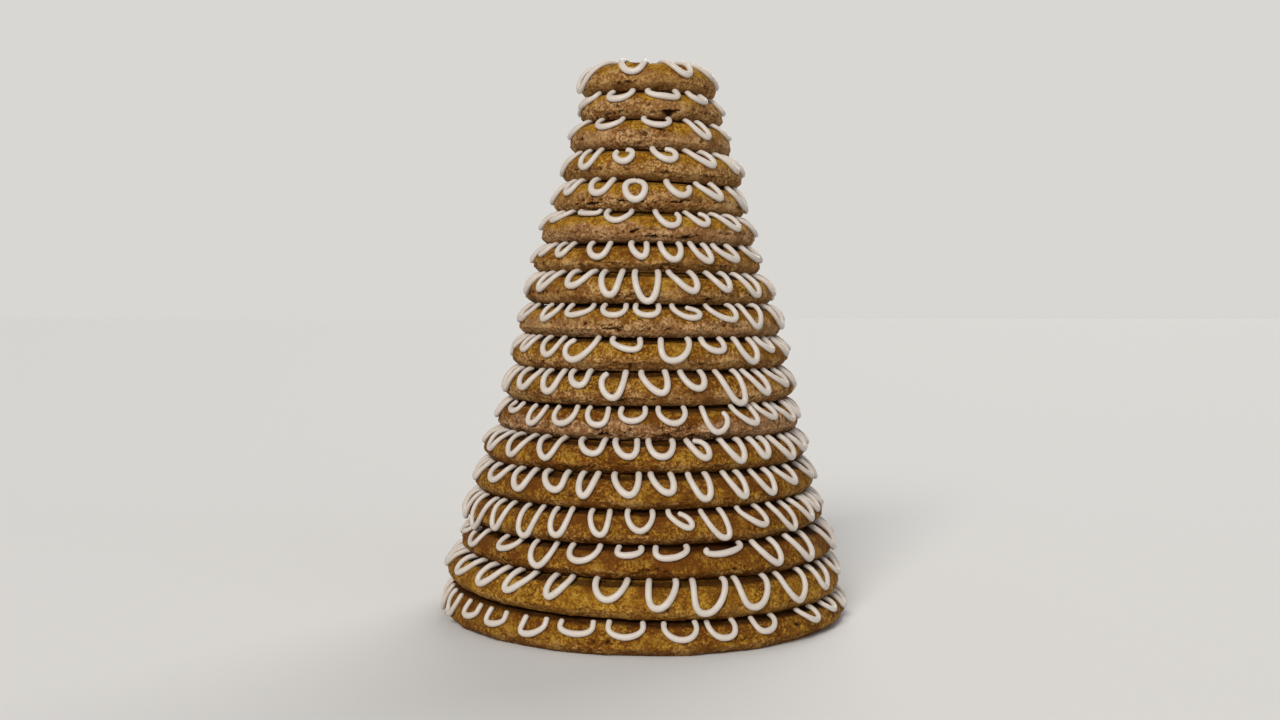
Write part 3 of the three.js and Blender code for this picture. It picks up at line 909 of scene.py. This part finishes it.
TOASTED = (0.170, 0.063, 0.004, 1)
GOLDEN = (0.350, 0.168, 0.011, 1)
GOLD = (0.500, 0.287, 0.042, 1)
FAWN = (0.220, 0.101, 0.036, 1)
TAN = (0.385, 0.217, 0.098, 1)
ALMOND = (0.560, 0.365, 0.200, 1)
RUDDY = (0.260, 0.085, 0.012, 1)
# browned grains, and painted shade where it darkens the crown under the ring above and the foot
BROWNED_AND_SHADED = (0.120, 0.037, 0.003, 1)
# painted shade for the crease, the pores, the pits and the cracks
PAINTED_SHADE = (0.036, 0.010, 0.002, 1)
SUGAR_WHITE = (0.610, 0.552, 0.500, 1)
SUGAR_CREAM = (0.550, 0.479, 0.408, 1)


def baked_crust():
    """Almond crust: skin in three golden tones and a torn side in three tan ones, mixed by clouds
    of three sizes and by grains, browned in patches and at its foot, with painted shade in that
    browning on its crown under the ring above and at its foot, and painted shade in its pores, its
    cracks and the crease under the ring above."""
    finish = Finish("baked_crust", Roughness=0.75, Specular_IOR_Level=0.1)
    side, hollow, grain = finish.mark("side"), finish.mark("hollow"), finish.mark("grain")
    brown_and_shade, torn, foot = finish.mark("brown_and_shade"), finish.mark("torn"), finish.mark("foot")
    crease, coarse = finish.mark("crease"), finish.mark("coarse")
    patches = finish.noise(11, 3, 0.6)
    mottle = finish.noise(3.0, 4, 0.7)
    fine = finish.noise(1.3, 3, 0.75)
    speck = finish.tones(1.0)

    # The tone lies round 0, dark below it and light above, with more contrast where it is coarse.
    tone = (mottle - 0.5) * 1.5 + (fine - 0.5) * 2.5 + (grain - 0.5) * 0.45 + (speck - 0.5) * 0.36
    tone = (patches - 0.5) * 1.3 + tone * (0.55 + coarse * 0.65)
    skin = finish.mix(finish.step(tone, -0.36, 0.08), TOASTED, GOLDEN)
    skin = finish.mix(finish.step(tone, 0.00, 0.44), skin, GOLD)
    rough = finish.mix(finish.step(tone, -0.30, 0.06), FAWN, TAN)
    rough = finish.mix(finish.step(tone, 0.00, 0.36), rough, ALMOND)
    colour = finish.mix((side * 0.1 + torn * 0.9).clipped(), skin, rough)

    # Browning, strongest where the tone is dark, with painted shade in it on the crown under the
    # ring above and at the foot; then single ruddy and browned grains.
    toast = finish.step(tone, 0.26, -0.30)
    over = brown_and_shade * (toast * 1.1 + brown_and_shade * 0.3 + 0.3) + foot * (brown_and_shade * 0.3 + 0.1)
    colour = finish.mix(over.clipped() * 0.95, colour, BROWNED_AND_SHADED)
    colour = finish.mix(finish.step(speck, 0.16, 0.0) * 0.6, colour, RUDDY)
    colour = finish.mix(finish.step(speck, 0.92, 1.0) * 0.6, colour, BROWNED_AND_SHADED)

    # Painted shade in the crease under the ring above, in fine pores, most on coarse torn places,
    # and in pits and cracks.
    pore = finish.step(finish.cells(1.7, 31), 0.26, 0.10) * (torn * coarse * 0.7 + 0.25)
    deep = finish.step(hollow, 0.15, 0.95)
    colour = finish.mix(crease.clipped() * 0.8, colour, PAINTED_SHADE)
    colour = finish.mix((pore * 0.7 + deep).clipped(), colour, PAINTED_SHADE)
    finish.set("Base Color", colour)
    finish.set("Roughness", 0.58 + fine * 0.3 + side * 0.06)
    finish.bump(fine * 1.1 + mottle * 1.2 - pore * 0.6, 0.8)
    return finish.material


def sugar_icing():
    """Dried sugar icing: a warm off-white with a soft gloss and a faintly grainy skin."""
    finish = Finish("sugar_icing", Roughness=0.4, Specular_IOR_Level=0.4,
                    Subsurface_Weight=0.12, Subsurface_Scale=0.6 * MM)
    finish.set("Subsurface Radius", (1.0, 0.7, 0.5))
    clouds = finish.noise(5, 3, 0.55)
    grain = finish.noise(0.7, 2, 0.5)
    share = finish.step(clouds, 0.35, 0.75) * 0.6
    finish.set("Base Color", finish.mix(share, SUGAR_WHITE, SUGAR_CREAM))
    finish.set("Roughness", 0.34 + clouds * 0.2)
    finish.bump(clouds * 0.6 + grain * 0.25, 0.3)
    return finish.material


# The stage

FLOOR_REACH = 60 / MM  # 60 metres each way
FLOOR_GREY = (0.70, 0.70, 0.70, 1)
ROOM_LIGHT = (1.0, 0.985, 0.96, 1)  # what the pale room throws on the cake from all round ...
ROOM_POWER = 0.20
ROOM_SEEN = (0.695, 0.678, 0.649, 1)  # ... and how it looks behind the cake

# Lamps: height and turn to the right of the front, how broad each looks, all in degrees, and its
# power and colour.
LAMPS = {
    "key_light": (34, -20, 25, 2.55, (1.0, 0.965, 0.91)),
    "fill_light": (14, 40, 50, 0.45, (0.92, 0.95, 1.0)),
    "back_light": (35, 160, 50, 1.6, (1.0, 0.97, 0.93)),
}

# The camera
PICTURE_WIDTH = 1280  # pixels
FOCAL_LENGTH = 1300  # pixels
SENSOR_WIDTH = 36  # millimetres
EYE = (-0.0023, -0.663, 0.1497)  # metres
LOOKS_DOWN = 0.0342  # radians


def table():
    """A pale floor that reaches to the horizon."""
    far = FLOOR_REACH
    corners = np.array([[-far, -far, 0], [far, -far, 0], [far, far, 0], [-far, far, 0]])
    cloth = Finish("studio_floor", Roughness=0.9, Specular_IOR_Level=0.1)
    cloth.set("Base Color", FLOOR_GREY)
    piece("studio_floor", corners, np.array([[0, 1, 2, 3]]), cloth.material)


def lamps():
    """A broad soft light from the front left, a cooler and weaker one from the right and one from
    behind, all far away."""
    for name, (height, aside, breadth, power, colour) in LAMPS.items():
        light = bpy.data.lights.new(name, "SUN")
        light.energy = power
        light.color = colour
        light.angle = np.radians(breadth)
        put(name, light).rotation_euler = (np.radians(90 - height), 0, np.radians(aside))


def pale_room():
    """Surroundings that light the cake a little from all round, and show behind it in a colour of
    their own: the camera's own rays meet that one, and all others the light."""
    world = bpy.data.worlds.new("pale_room")
    world.use_nodes = True
    room = Nodes(world.node_tree)
    glow = room.node("ShaderNodeBackground", None, {"Color": ROOM_LIGHT, "Strength": ROOM_POWER})
    seen = room.node("ShaderNodeBackground", None, {"Color": ROOM_SEEN})
    direct = room.node("ShaderNodeLightPath", output="Is Camera Ray")
    either = room.node("ShaderNodeMixShader", None, {0: direct, 1: glow, 2: seen})
    room.link(either, room.tree.nodes["World Output"].inputs["Surface"])
    bpy.context.scene.world = world


def camera():
    """A camera in front of the cake, level with its middle and pitched a little down, whose
    picture keeps colours as they are."""
    lens = bpy.data.cameras.new("camera")
    lens.sensor_width = SENSOR_WIDTH
    lens.lens = SENSOR_WIDTH * FOCAL_LENGTH / PICTURE_WIDTH
    eye = put("camera", lens)
    eye.location = EYE
    eye.rotation_euler = (np.pi / 2 - LOOKS_DOWN, 0, 0)
    bpy.context.scene.camera = eye
    bpy.context.scene.view_settings.view_transform = "Standard"


camera()
table()
lamps()
pale_room()
baked, sugar = baked_crust(), sugar_icing()
for ring in stack():
    node = "ring_%02d" % ring.number
    for made, slot in ((crust_piece(ring, baked), "crust"), (icing_piece(ring, sugar), "icing")):
        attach(made, "root")
        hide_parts(node)
